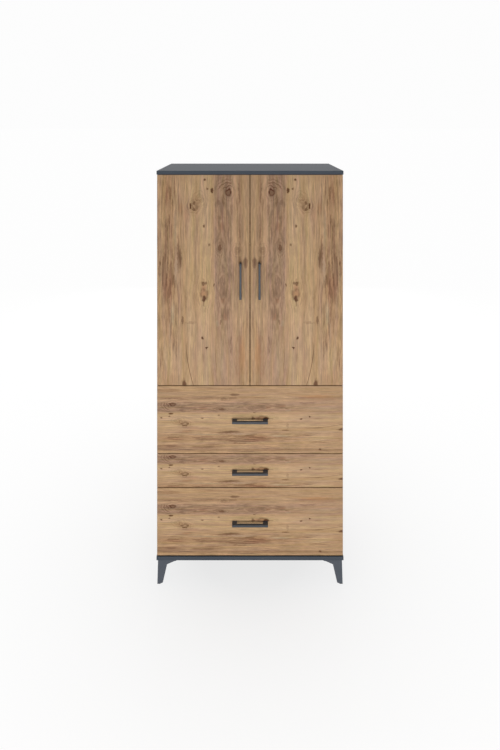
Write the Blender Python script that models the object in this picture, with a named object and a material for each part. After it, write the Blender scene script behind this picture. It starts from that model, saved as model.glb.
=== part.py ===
"""A tall cupboard on four folded metal legs, with two doors above three drawers.

Metres, +Z up. X runs across the width, the front faces -Y, and the floor is Z = 0.
The origin is on the floor, in the middle of the width and of the whole depth, handles included.
"""

import math

import bmesh
import bpy
from mathutils import Vector

# Clearances shared by every piece
FIT = 0.0003
OVERRUN = 0.004

# Body
WIDTH = 0.900
CARCASS_DEPTH = 0.470
BOARD = 0.018
BACK_THICKNESS = 0.003
BOARD_EDGE_RADIUS = 0.0008

# Fronts
FRONT_THICKNESS = 0.018
FRONT_INSET = 0.003
FRONT_GAP = 0.003
TOP_GAP = 0.0015
BASE_GAP = 0.006
DOOR_HEIGHT = 1.0125
TALL_DRAWER_HEIGHT = 0.3245
LOW_DRAWER_HEIGHT = 0.160

# Adjustable shelves, each on four pins that stand in the sides
SHELF_COUNT = 2
SHELF_SIDE_CLEARANCE = 0.0005
SHELF_SETBACK = 0.022
SHELF_PIN_RADIUS = 0.0025
SHELF_PIN_LENGTH = 0.009
SHELF_PIN_FROM_EDGE = 0.037

# Corner legs of folded sheet
LEG_HEIGHT = 0.116
LEG_SHEET = 0.003
LEG_INSET = 0.006
LEG_SPLAY = 0.003
LEG_FOLD_RADIUS = 0.004
LEG_BRACE_LENGTH = 0.098
LEG_BRACE_TIP = 0.002
LEG_KNEE_WIDTH = 0.042
LEG_KNEE_DROP = 0.021
LEG_FOOT_WIDTH = 0.023
LEG_FOOT_RISE = 0.002
LEG_FOOT_RADIUS = 0.006
LEG_PLATE_LENGTH = 0.074
LEG_PLATE_HOLE_RADIUS = 0.0025
GLIDE_WIDTH = 0.018
GLIDE_HEIGHT = 0.009
GLIDE_BELOW_SHEET = 0.002

# Bar handles
HANDLE_LENGTH = 0.171
HANDLE_WIDTH = 0.010
HANDLE_REACH = 0.030
HANDLE_BAR = 0.009
HANDLE_POST = 0.023
HANDLE_EDGE_RADIUS = 0.0006
DOOR_HANDLE_FROM_EDGE = 0.044

# Cup hinges: the pin's place is measured from the door's outer edge and its back face
HINGE_COUNT = 3
HINGE_FROM_END = 0.100
PIN_INSET = 0.0075
PIN_DEPTH = 0.0095
PIN_RADIUS = 0.00125
SWING_CLEARANCE = 0.0004
CUP_RADIUS = 0.0175
CUP_WALL = 0.001
CUP_FLOOR = 0.0008
CUP_DEPTH = 0.013
CUP_EDGE_MARGIN = 0.003
CUP_RIM = 0.001
CUP_FLANGE = 0.001
CUP_WING_LENGTH = 0.060
CUP_WING_WIDTH = 0.0165
ARM_SHEET = 0.002
ARM_WIDTH = 0.010
ARM_EYE_RADIUS = 0.0022
ARM_REACH = 0.012
ARM_FOOT_SETBACK = 0.008
ARM_LENGTH = 0.062
ARM_HOUSING_WIDTH = 0.016
HINGE_PLATE_THICKNESS = 0.0025
HINGE_PLATE_LENGTH = 0.048
HINGE_PLATE_WIDTH = 0.026
HINGE_PLATE_SETBACK = 0.024

# Drawer boxes
DRAWER_LENGTH = 0.420
DRAWER_BOARD = 0.012
DRAWER_BOTTOM = 0.003
TALL_BOX_HEIGHT = 0.220
LOW_BOX_HEIGHT = 0.100
BOX_RISE = 0.022
GROOVE_RISE = 0.010
GROOVE_DEPTH = 0.006

# Drawer rails: a lipped channel on the body's side and a hat section on the box
RAIL_LENGTH = 0.400
RAIL_SETBACK = 0.003
RAIL_RISE = 0.045
RAIL_HEIGHT = 0.035
RAIL_DEPTH = 0.0127
RAIL_SHEET = 0.0012
RAIL_CHANNEL_DEPTH = 0.010
RAIL_LIP = 0.0033
RAIL_RUNNING_CLEARANCE = 0.0004
RAIL_NECK_CLEARANCE = 0.0015
RAIL_BRIM_FROM_WEB = 0.0025

# Counts of sides on round pieces
CUP_SIDES = 32
PIN_SIDES = 12
FOLD_STEPS = 5
EYE_STEPS = 14
EYE_OPEN_DEG = 27
EDGE_SEGMENTS = 2

# Levels, from the floor up
base_low = LEG_HEIGHT
base_high = base_low + BOARD
lower_drawer_low = base_high + BASE_GAP
middle_drawer_low = lower_drawer_low + TALL_DRAWER_HEIGHT + FRONT_GAP
upper_drawer_low = middle_drawer_low + LOW_DRAWER_HEIGHT + FRONT_GAP
door_low = upper_drawer_low + TALL_DRAWER_HEIGHT + FRONT_GAP
door_high = door_low + DOOR_HEIGHT
door_middle = (door_low + door_high) / 2
top_low = door_high + TOP_GAP
top_high = top_low + BOARD
fixed_shelf_middle = door_low - FRONT_GAP / 2
fixed_shelf_high = fixed_shelf_middle + BOARD / 2

# Planes across the depth
front_face = HANDLE_REACH - (CARCASS_DEPTH + HANDLE_REACH) / 2
front_back = front_face + FRONT_THICKNESS
hinge_gap = math.hypot(PIN_INSET, PIN_DEPTH) - PIN_DEPTH + SWING_CLEARANCE
carcass_front = front_back + hinge_gap
back_face = front_face + CARCASS_DEPTH
carcass_back = back_face - BACK_THICKNESS - FIT

# Planes across the width, on the right half
outer_side = WIDTH / 2
inner_side = outer_side - BOARD
front_edge = outer_side - FRONT_INSET
box_side = inner_side - FIT - RAIL_DEPTH - FIT

# How an outline's first and second numbers and its depth turn into X, Y and Z
PLANES = {
    "XY": lambda a, b, depth: (a, b, depth),
    "XZ": lambda a, b, depth: (a, depth, b),
    "YZ": lambda a, b, depth: (depth, a, b),
    "ZY": lambda a, b, depth: (depth, b, a),
}


def clear_scene():
    for old in list(bpy.data.objects):
        bpy.data.objects.remove(old, do_unlink=True)


def finish_of(name, srgb, roughness, metallic):
    """A plain material, from a colour of three numbers up to 255."""
    finish = bpy.data.materials.new(name)
    finish.use_nodes = True
    shader = finish.node_tree.nodes["Principled BSDF"]
    linear = [(value / 255) ** 2.2 for value in srgb]
    shader.inputs["Base Color"].default_value = (*linear, 1)
    shader.inputs["Roughness"].default_value = roughness
    shader.inputs["Metallic"].default_value = metallic
    finish.diffuse_color = (*linear, 1)
    return finish


def joint_axis(name, at):
    """An empty on a joint's axis. The pieces that move there have it as their parent."""
    axis = bpy.data.objects.new(name, None)
    axis.location = at
    bpy.context.scene.collection.objects.link(axis)
    return axis


def settle(name, shape, finish, axis=None):
    """Makes an object of a shape drawn in world places, with its origin at its middle."""
    low = Vector([min(v.co[i] for v in shape.verts) for i in range(3)])
    high = Vector([max(v.co[i] for v in shape.verts) for i in range(3)])
    middle = (low + high) / 2
    bmesh.ops.translate(shape, vec=-middle, verts=shape.verts)
    bmesh.ops.recalc_face_normals(shape, faces=shape.faces)
    mesh = bpy.data.meshes.new(name)
    shape.to_mesh(mesh)
    shape.free()
    mesh.materials.append(finish)
    piece = bpy.data.objects.new(name, mesh)
    bpy.context.scene.collection.objects.link(piece)
    piece.parent = axis
    piece.location = middle - (axis.location if axis else Vector())
    return piece


def block(name, low, high, finish, axis=None):
    """A block between two corners, given in any order."""
    low, high = Vector(low), Vector(high)
    size = Vector([abs(b - a) for a, b in zip(low, high)])
    shape = bmesh.new()
    bmesh.ops.create_cube(shape, size=1)
    bmesh.ops.scale(shape, vec=size, verts=shape.verts)
    bmesh.ops.translate(shape, vec=(low + high) / 2, verts=shape.verts)
    return settle(name, shape, finish, axis)


def prism(name, plane, outline, start, end, finish, axis=None, lean=None):
    """An outline pushed from start to end. A lean moves its start face aside, within the outline's plane."""
    place = PLANES[plane]
    aside = lean or (0, 0)
    shape = bmesh.new()
    first = [shape.verts.new(place(a + aside[0], b + aside[1], start)) for a, b in outline]
    last = [shape.verts.new(place(a, b, end)) for a, b in outline]
    shape.faces.new(first)
    shape.faces.new(last)
    for i in range(len(outline)):
        shape.faces.new((first[i - 1], first[i], last[i], last[i - 1]))
    return settle(name, shape, finish, axis)


def arc(middle, radius, from_deg, to_deg, steps):
    """The points of an arc, both ends included."""
    turns = [math.radians(from_deg + (to_deg - from_deg) * i / steps) for i in range(steps + 1)]
    return [(middle[0] + radius * math.cos(t), middle[1] + radius * math.sin(t)) for t in turns]


def circle(middle, radius, sides):
    return arc(middle, radius, 0, 360, sides)[:-1]


def fillet(before, corner, after, radius, steps):
    """The points that round a corner of an outline, between the points before and after it."""
    corner = Vector(corner)
    first = (Vector(before) - corner).normalized()
    second = (Vector(after) - corner).normalized()
    half = first.angle(second) / 2
    middle = corner + (first + second).normalized() * radius / math.sin(half)
    start = corner + first * radius / math.tan(half) - middle
    end = corner + second * radius / math.tan(half) - middle
    turn = start.angle_signed(end)
    points = []
    for i in range(steps + 1):
        angle = -turn * i / steps
        points.append((
            middle.x + start.x * math.cos(angle) - start.y * math.sin(angle),
            middle.y + start.x * math.sin(angle) + start.y * math.cos(angle),
        ))
    return points


def soften(piece, radius, segments=EDGE_SEGMENTS):
    """Rounds a piece's sharp edges a little."""
    step = piece.modifiers.new("soft_edges", "BEVEL")
    step.width = radius
    step.segments = segments
    step.limit_method = "ANGLE"
    return piece


def combine(piece, tool, operation):
    """Cuts, joins or keeps a piece with a tool, which is left out of the render."""
    tool.hide_render = True
    tool.display_type = "WIRE"
    step = piece.modifiers.new(tool.name, "BOOLEAN")
    step.operation = operation
    step.object = tool
    step.solver = "EXACT"
    return piece


def top_and_base():
    for name, low in (("top_board", top_low), ("base_board", base_low)):
        board = block(
            name,
            (-outer_side, front_face, low),
            (outer_side, back_face, low + BOARD),
            anthracite,
        )
        soften(board, BOARD_EDGE_RADIUS)


def shelf_levels():
    """The undersides of the adjustable shelves, which share the door space evenly."""
    space = top_low - fixed_shelf_high
    pitch = space / (SHELF_COUNT + 1)
    return [fixed_shelf_high + pitch * (i + 1) - BOARD / 2 for i in range(SHELF_COUNT)]


def side(name, hand):
    """One side of the body, with the shelf pins that stand in it."""
    panel = block(
        name,
        (hand * inner_side, carcass_front, base_high + FIT),
        (hand * outer_side, carcass_back, top_low - FIT),
        laminate,
    )
    soften(panel, BOARD_EDGE_RADIUS)
    shelf_front = carcass_front + SHELF_SETBACK
    for level, underside in enumerate(shelf_levels()):
        for end, along in (
            ("front", shelf_front + SHELF_PIN_FROM_EDGE),
            ("rear", carcass_back - SHELF_PIN_FROM_EDGE),
        ):
            pin = prism(
                f"{name}_pin_{level}_{end}",
                "YZ",
                circle((along, underside - FIT - SHELF_PIN_RADIUS), SHELF_PIN_RADIUS, PIN_SIDES),
                hand * (inner_side - SHELF_PIN_LENGTH),
                hand * (inner_side + SHELF_PIN_LENGTH),
                laminate,
            )
            combine(panel, pin, "UNION")


def shelves():
    fixed = block(
        "fixed_shelf",
        (FIT - inner_side, carcass_front, fixed_shelf_high - BOARD),
        (inner_side - FIT, carcass_back, fixed_shelf_high),
        laminate,
    )
    soften(fixed, BOARD_EDGE_RADIUS)
    reach = inner_side - SHELF_SIDE_CLEARANCE
    for name, underside in zip(("low_shelf", "high_shelf"), shelf_levels()):
        shelf = block(
            name,
            (-reach, carcass_front + SHELF_SETBACK, underside),
            (reach, carcass_back - FIT, underside + BOARD),
            laminate,
        )
        soften(shelf, BOARD_EDGE_RADIUS)


def backs():
    for name, low, high in (
        ("lower_back", base_high + FIT, fixed_shelf_middle - FIT / 2),
        ("upper_back", fixed_shelf_middle + FIT / 2, top_low - FIT),
    ):
        block(
            name,
            (FIT - outer_side, back_face - BACK_THICKNESS, low),
            (outer_side - FIT, back_face, high),
            hardboard,
        )


def leg_outline(inward, hand, outer):
    """A flange seen square on, as places across and up, from the outer edge inwards.

    It is wider than the sheet at its outer side and its top, where it only has to hold the sheet.
    """
    high = LEG_HEIGHT - FIT
    beyond = -LEG_SPLAY - OVERRUN
    foot = LEG_FOOT_WIDTH - LEG_SPLAY
    sole = (beyond, GLIDE_BELOW_SHEET)
    toe = (foot, GLIDE_BELOW_SHEET + LEG_FOOT_RISE)
    knee = (LEG_KNEE_WIDTH, high - LEG_KNEE_DROP)
    points = [
        sole,
        *fillet(sole, toe, knee, LEG_FOOT_RADIUS, FOLD_STEPS),
        knee,
        (LEG_BRACE_LENGTH + OVERRUN, high - LEG_BRACE_TIP),
        (LEG_BRACE_LENGTH + OVERRUN, high + OVERRUN),
        (beyond, high + OVERRUN),
    ]
    return [(outer - hand * a if inward == "X" else outer + hand * a, z) for a, z in points]


def leg(name, hand, rear):
    """A folded corner leg: two flanges, a top plate with screw holes, and a glide in the foot."""
    high = LEG_HEIGHT - FIT
    outer_x = hand * (outer_side - LEG_INSET)
    outer_y = back_face - LEG_INSET if rear else front_face + LEG_INSET
    depth_hand = -1 if rear else 1

    def spot(a, b):
        return (outer_x - hand * a, outer_y + depth_hand * b)

    lean = (hand * LEG_SPLAY, -depth_hand * LEG_SPLAY)
    fold = arc((LEG_FOLD_RADIUS, LEG_FOLD_RADIUS), LEG_FOLD_RADIUS, 270, 180, FOLD_STEPS)
    angle = [
        (LEG_BRACE_LENGTH, 0),
        *fold,
        (0, LEG_BRACE_LENGTH),
        (LEG_SHEET, LEG_BRACE_LENGTH),
        (LEG_SHEET, LEG_SHEET),
        (LEG_BRACE_LENGTH, LEG_SHEET),
    ]
    sheet = prism(name, "XY", [spot(*p) for p in angle], 0, high, metal, lean=lean)
    across = prism(
        f"{name}_front_shape",
        "XZ",
        leg_outline("X", hand, outer_x),
        outer_y - depth_hand * (LEG_SPLAY + OVERRUN),
        outer_y + depth_hand * (LEG_BRACE_LENGTH + OVERRUN),
        metal,
    )
    along = prism(
        f"{name}_side_shape",
        "YZ",
        leg_outline("Y", depth_hand, outer_y),
        outer_x + hand * (LEG_SPLAY + OVERRUN),
        outer_x - hand * (LEG_BRACE_LENGTH + OVERRUN),
        metal,
    )
    combine(sheet, across, "INTERSECT")
    combine(sheet, along, "INTERSECT")

    half = LEG_SHEET / 2
    plate = prism(
        f"{name}_plate",
        "XY",
        [spot(half, half), spot(LEG_PLATE_LENGTH, half), spot(half, LEG_PLATE_LENGTH)],
        high - LEG_SHEET,
        high,
        metal,
    )
    combine(sheet, plate, "UNION")
    for number, share in enumerate(plate_hole_shares):
        hole = prism(
            f"{name}_hole_{number}",
            "XY",
            circle(spot(*(LEG_PLATE_LENGTH * s for s in share)), LEG_PLATE_HOLE_RADIUS, PIN_SIDES),
            high - LEG_SHEET - OVERRUN,
            high + OVERRUN,
            metal,
        )
        combine(sheet, hole, "DIFFERENCE")

    pad = [
        (half, half),
        (GLIDE_WIDTH, half),
        (GLIDE_WIDTH, LEG_SHEET),
        (LEG_SHEET, GLIDE_WIDTH),
        (half, GLIDE_WIDTH),
    ]
    glide = prism(
        f"{name}_glide",
        "XY",
        [spot(a - LEG_SPLAY, b - LEG_SPLAY) for a, b in pad],
        0,
        GLIDE_HEIGHT,
        metal,
    )
    combine(sheet, glide, "UNION")


def handle(name, plane, middle, level, axis):
    """A bar on two square posts. Its outline runs along the bar and out from the front."""
    half = HANDLE_LENGTH / 2
    seat = front_face - FIT
    bar_face = front_face - HANDLE_REACH
    bar_back = bar_face + HANDLE_BAR
    outline = [
        (-half, seat),
        (-half, bar_face),
        (half, bar_face),
        (half, seat),
        (half - HANDLE_POST, seat),
        (half - HANDLE_POST, bar_back),
        (HANDLE_POST - half, bar_back),
        (HANDLE_POST - half, seat),
    ]
    piece = prism(
        name,
        plane,
        [(middle + along, out) for along, out in outline],
        level - HANDLE_WIDTH / 2,
        level + HANDLE_WIDTH / 2,
        metal,
        axis,
    )
    soften(piece, HANDLE_EDGE_RADIUS, segments=1)


def hinge_levels():
    low = door_low + HINGE_FROM_END
    high = door_high - HINGE_FROM_END
    return [low + (high - low) * i / (HINGE_COUNT - 1) for i in range(HINGE_COUNT)]


def door_spot(hand, inward, behind):
    """A place seen from above, from the door's outer edge inwards and from its back face backwards."""
    return (hand * (front_edge - inward), front_back + behind)


def hinge_cup(name, hand, level, axis):
    """The cup in the door, with its flange, two screw wings and the pin across it."""
    middle = (hand * (front_edge - CUP_EDGE_MARGIN - CUP_RADIUS), level)
    seat = front_back + FIT
    cup = prism(
        name,
        "XZ",
        circle(middle, CUP_RADIUS, CUP_SIDES),
        front_back - CUP_DEPTH,
        seat + CUP_FLANGE,
        steel,
        axis,
    )
    flange = prism(
        f"{name}_flange",
        "XZ",
        circle(middle, CUP_RADIUS + CUP_RIM, CUP_SIDES),
        seat,
        seat + CUP_FLANGE,
        steel,
        axis,
    )
    combine(cup, flange, "UNION")
    wings = block(
        f"{name}_wings",
        (middle[0] - CUP_WING_WIDTH / 2, seat, level - CUP_WING_LENGTH / 2),
        (middle[0] + CUP_WING_WIDTH / 2, seat + CUP_FLANGE, level + CUP_WING_LENGTH / 2),
        steel,
        axis,
    )
    combine(cup, wings, "UNION")
    hollow = prism(
        f"{name}_hollow",
        "XZ",
        circle(middle, CUP_RADIUS - CUP_WALL, CUP_SIDES),
        front_back - CUP_DEPTH + CUP_FLOOR,
        seat + CUP_FLANGE + OVERRUN,
        steel,
        axis,
    )
    combine(cup, hollow, "DIFFERENCE")
    off_middle = CUP_EDGE_MARGIN + CUP_RADIUS - PIN_INSET
    half_pin = math.sqrt((CUP_RADIUS - CUP_WALL / 2) ** 2 - off_middle**2) - PIN_RADIUS / 2
    pin = prism(
        f"{name}_pin",
        "XY",
        circle(door_spot(hand, PIN_INSET, -PIN_DEPTH), PIN_RADIUS, PIN_SIDES),
        level - half_pin,
        level + half_pin,
        steel,
        axis,
    )
    combine(cup, pin, "UNION")


def hinge_arm(name, hand, level):
    """The arm that hooks round the door's edge into the cup, with its plate on the body's side."""
    wall = front_edge - inner_side + FIT
    inner_face = PIN_INSET + ARM_REACH
    outer_face = inner_face + ARM_SHEET
    half = ARM_SHEET / 2
    foot = hinge_gap + ARM_FOOT_SETBACK
    end = hinge_gap + ARM_LENGTH
    eye = arc((PIN_INSET, -PIN_DEPTH), ARM_EYE_RADIUS, EYE_OPEN_DEG, 360 - EYE_OPEN_DEG, EYE_STEPS)
    outline = [
        *eye,
        (outer_face, -PIN_DEPTH - half),
        (outer_face, end - half),
        (inner_face, end - half),
        (inner_face, half - PIN_DEPTH),
    ]
    arm = prism(
        name,
        "XY",
        [door_spot(hand, u, v) for u, v in outline],
        level - ARM_WIDTH / 2,
        level + ARM_WIDTH / 2,
        steel,
    )
    housing = block(
        f"{name}_housing",
        (*door_spot(hand, wall, foot), level - ARM_HOUSING_WIDTH / 2),
        (*door_spot(hand, outer_face, end), level + ARM_HOUSING_WIDTH / 2),
        steel,
    )
    combine(arm, housing, "UNION")
    plate_front = hinge_gap + HINGE_PLATE_SETBACK
    near = door_spot(hand, wall, plate_front)
    far = door_spot(hand, wall + HINGE_PLATE_THICKNESS, plate_front + HINGE_PLATE_WIDTH)
    plate = block(
        f"{name}_plate",
        (*near, level - HINGE_PLATE_LENGTH / 2),
        (*far, level + HINGE_PLATE_LENGTH / 2),
        steel,
    )
    combine(arm, plate, "UNION")
    bore = prism(
        f"{name}_bore",
        "XY",
        circle(door_spot(hand, PIN_INSET, -PIN_DEPTH), PIN_RADIUS + FIT, PIN_SIDES),
        level - ARM_WIDTH,
        level + ARM_WIDTH,
        steel,
    )
    combine(arm, bore, "DIFFERENCE")


def door(word, hand):
    """A door with its handle, its hinge cups, and the hinge arms that stay on the body."""
    axis = joint_axis(f"{word}_door_axis", (*door_spot(hand, PIN_INSET, -PIN_DEPTH), door_middle))
    leaf = block(
        f"{word}_door",
        (hand * FRONT_GAP / 2, front_face, door_low),
        (hand * front_edge, front_back, door_high),
        laminate,
        axis,
    )
    soften(leaf, BOARD_EDGE_RADIUS)
    cup_middle = hand * (front_edge - CUP_EDGE_MARGIN - CUP_RADIUS)
    for place, level in zip(("low", "middle", "high"), hinge_levels()):
        pocket = prism(
            f"{word}_door_pocket_{place}",
            "XZ",
            circle((cup_middle, level), CUP_RADIUS + FIT, CUP_SIDES),
            front_back - CUP_DEPTH - FIT,
            front_back + OVERRUN,
            laminate,
            axis,
        )
        combine(leaf, pocket, "DIFFERENCE")
        hinge_cup(f"{word}_{place}_hinge_cup", hand, level, axis)
        hinge_arm(f"{word}_{place}_hinge_arm", hand, level)
    from_middle = FRONT_GAP / 2 + DOOR_HANDLE_FROM_EDGE
    handle(f"{word}_door_handle", "ZY", door_middle, hand * from_middle, axis)


def rails(word, box_low, axis):
    """The cabinet's channel and the box's hat section on each side of a drawer."""
    level = box_low + RAIL_RISE
    half = RAIL_HEIGHT / 2
    start = carcass_front + RAIL_SETBACK
    lip = RAIL_CHANNEL_DEPTH - RAIL_SHEET
    channel_half = [
        (0, half),
        (RAIL_CHANNEL_DEPTH, half),
        (RAIL_CHANNEL_DEPTH, half - RAIL_SHEET - RAIL_LIP),
        (lip, half - RAIL_SHEET - RAIL_LIP),
        (lip, half - RAIL_SHEET),
        (RAIL_SHEET, half - RAIL_SHEET),
    ]
    neck = half - RAIL_SHEET - RAIL_LIP - RAIL_NECK_CLEARANCE
    brim = half - RAIL_SHEET - RAIL_RUNNING_CLEARANCE
    brim_low = RAIL_SHEET + RAIL_BRIM_FROM_WEB
    hat_half = [
        (RAIL_DEPTH, neck),
        (brim_low + RAIL_SHEET, neck),
        (brim_low + RAIL_SHEET, brim),
        (brim_low, brim),
        (brim_low, neck - RAIL_SHEET),
        (RAIL_DEPTH - RAIL_SHEET, neck - RAIL_SHEET),
    ]
    for hand_word, hand in (("left", -1), ("right", 1)):
        for name, half_outline, parent in (
            (f"{word}_cabinet_rail_{hand_word}", channel_half, None),
            (f"{word}_drawer_rail_{hand_word}", hat_half, axis),
        ):
            outline = half_outline + [(across, -up) for across, up in reversed(half_outline)]
            prism(
                name,
                "XZ",
                [(hand * (inner_side - FIT - across), level + up) for across, up in outline],
                start,
                start + RAIL_LENGTH,
                zinc,
                parent,
            )


def drawer(word, front_low, front_height, box_height):
    """A drawer: its front and handle, and a box with a bottom that slides into grooves."""
    front_middle = front_low + front_height / 2
    axis = joint_axis(f"{word}_drawer_axis", (0, front_face, front_middle))
    front = block(
        f"{word}_drawer_front",
        (-front_edge, front_face, front_low),
        (front_edge, front_back, front_low + front_height),
        laminate,
        axis,
    )
    soften(front, BOARD_EDGE_RADIUS)
    handle(f"{word}_drawer_handle", "XY", 0, front_middle, axis)

    box_low = front_low + BOX_RISE
    box_high = box_low + box_height
    box_front = front_back + FIT
    box_back = box_front + DRAWER_LENGTH
    box_inner = box_side - DRAWER_BOARD
    groove_low = box_low + GROOVE_RISE
    groove_high = groove_low + DRAWER_BOTTOM + FIT + FIT
    groove_reach = box_inner + GROOVE_DEPTH

    front_groove = block(
        f"{word}_front_groove",
        (-groove_reach, front_back - GROOVE_DEPTH, groove_low),
        (groove_reach, front_back + OVERRUN, groove_high),
        laminate,
        axis,
    )
    combine(front, front_groove, "DIFFERENCE")
    for hand_word, hand in (("left", -1), ("right", 1)):
        wall = block(
            f"{word}_drawer_{hand_word}_side",
            (hand * box_inner, box_front, box_low),
            (hand * box_side, box_back, box_high),
            box_laminate,
            axis,
        )
        groove = block(
            f"{word}_{hand_word}_groove",
            (hand * (box_inner - OVERRUN), box_front - OVERRUN, groove_low),
            (hand * groove_reach, box_back + OVERRUN, groove_high),
            box_laminate,
            axis,
        )
        combine(wall, groove, "DIFFERENCE")
    block(
        f"{word}_drawer_bottom",
        (FIT - groove_reach, front_back - GROOVE_DEPTH + FIT, groove_low + FIT),
        (groove_reach - FIT, box_back, groove_low + FIT + DRAWER_BOTTOM),
        hardboard,
        axis,
    )
    block(
        f"{word}_drawer_back",
        (FIT - box_inner, box_back - DRAWER_BOARD, groove_high),
        (box_inner - FIT, box_back, box_high),
        box_laminate,
        axis,
    )
    rails(word, box_low, axis)


# Places of the screw holes in a leg's top plate, as shares of its length
plate_hole_shares = ((0.2, 0.2), (0.62, 0.18), (0.18, 0.62))

clear_scene()
laminate = finish_of("rustic_laminate", (175, 143, 108), 0.55, 0)
box_laminate = finish_of("drawer_box_laminate", (196, 170, 136), 0.55, 0)
anthracite = finish_of("anthracite_laminate", (80, 86, 96), 0.5, 0)
metal = finish_of("anthracite_powder_coat", (84, 90, 98), 0.45, 0.3)
steel = finish_of("nickel_plated_steel", (190, 190, 188), 0.3, 1)
zinc = finish_of("zinc_plated_steel", (176, 178, 180), 0.35, 1)
hardboard = finish_of("hardboard", (188, 160, 126), 0.7, 0)

top_and_base()
side("left_side", -1)
side("right_side", 1)
shelves()
backs()
for leg_word, leg_hand in (("left", -1), ("right", 1)):
    leg(f"front_{leg_word}_leg", leg_hand, rear=False)
    leg(f"rear_{leg_word}_leg", leg_hand, rear=True)
door("left", -1)
door("right", 1)
drawer("lower", lower_drawer_low, TALL_DRAWER_HEIGHT, TALL_BOX_HEIGHT)
drawer("middle", middle_drawer_low, LOW_DRAWER_HEIGHT, LOW_BOX_HEIGHT)
drawer("upper", upper_drawer_low, TALL_DRAWER_HEIGHT, TALL_BOX_HEIGHT)
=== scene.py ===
"""The looks of a tall cupboard: printed wood boards, dark grey top and base, metal legs and bar handles.

Metres, +Z up. X runs across the width, the front faces -Y, and the floor is Z = 0.
"""

import math

import bmesh
import bpy
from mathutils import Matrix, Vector


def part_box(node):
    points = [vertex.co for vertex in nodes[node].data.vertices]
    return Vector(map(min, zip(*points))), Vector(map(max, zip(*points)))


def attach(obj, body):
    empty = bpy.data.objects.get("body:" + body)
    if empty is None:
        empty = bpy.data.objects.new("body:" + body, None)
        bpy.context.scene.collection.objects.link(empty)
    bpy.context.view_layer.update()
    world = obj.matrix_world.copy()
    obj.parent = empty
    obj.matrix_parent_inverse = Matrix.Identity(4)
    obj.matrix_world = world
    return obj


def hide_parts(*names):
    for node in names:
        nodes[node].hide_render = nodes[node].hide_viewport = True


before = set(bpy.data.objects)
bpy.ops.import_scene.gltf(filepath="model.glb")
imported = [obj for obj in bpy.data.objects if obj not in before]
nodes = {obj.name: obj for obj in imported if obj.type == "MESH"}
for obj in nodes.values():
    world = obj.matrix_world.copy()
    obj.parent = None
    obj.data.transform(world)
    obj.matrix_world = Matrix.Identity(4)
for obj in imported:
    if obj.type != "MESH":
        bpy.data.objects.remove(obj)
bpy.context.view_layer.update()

# The fixed shelf's ends stop this short of the sides
SHELF_CLEARANCE = 0.0003

# The cupboard's own levels and planes, read from its boards
(_, front_face, door_low), (_, front_back, door_high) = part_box("left_door")
door_length = door_high - door_low
front_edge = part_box("upper_drawer_front")[1].x
door_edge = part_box("right_door")[0].x
outer_side, _, side_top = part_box("right_side")[1]
back_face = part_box("upper_back")[1].y
inner_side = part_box("low_shelf")[1].x
box_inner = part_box("lower_drawer_back")[1].x
side_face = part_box("fixed_shelf")[1].x + SHELF_CLEARANCE

# Its sides with the way that each lies, and its drawers
SIDES = (("left", -1), ("right", 1))
DRAWERS = ("lower", "middle", "upper")

# Camera: level, on the middle line, above the top board, with the lens shifted down
CAMERA_HEIGHT = 2.21
CAMERA_DISTANCE = 2.487
LENS = 24.815
LENS_SHIFT = -0.3332

# Light. A lamp has its place, the spot that it faces, its width, its height and its watts
WORLD_LIGHT = 0.50
BACKDROP = 0.98
FRONT_LAMP = ((0, -3.1, 0.18), (0, 0, 0.14), 3.2, 0.8, 66)
BACK_LAMP = ((0, 4.2, 1.4), (0, 0, 0.9), 3.2, 1.6, 40)

# The floor's paint and how far it glows instead. Then how bright it looks far away, and a shadow painted
# into the glow
# round the cupboard: how much darker it is at the cupboard, and how that fades
FLOOR_SIZE = 600
FLOOR_PAINT = (0.82, 0.82, 0.82, 1)
FLOOR_GLOW_SHARE = 0.8
FLOOR_GLOW = 1.13
FLOOR_PAINTED_SHADOW_DEPTH = 0.175
FLOOR_PAINTED_SHADOW_CORE = 0.25
FLOOR_PAINTED_SHADOW_FADE = 0.50


def srgb(red, green, blue):
    """A colour as it looks, from three numbers up to 255, turned into linear light."""
    shares = [value / 255 for value in (red, green, blue)]
    return (*[s / 12.92 if s <= 0.04045 else ((s + 0.055) / 1.055) ** 2.4 for s in shares], 1)


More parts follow.
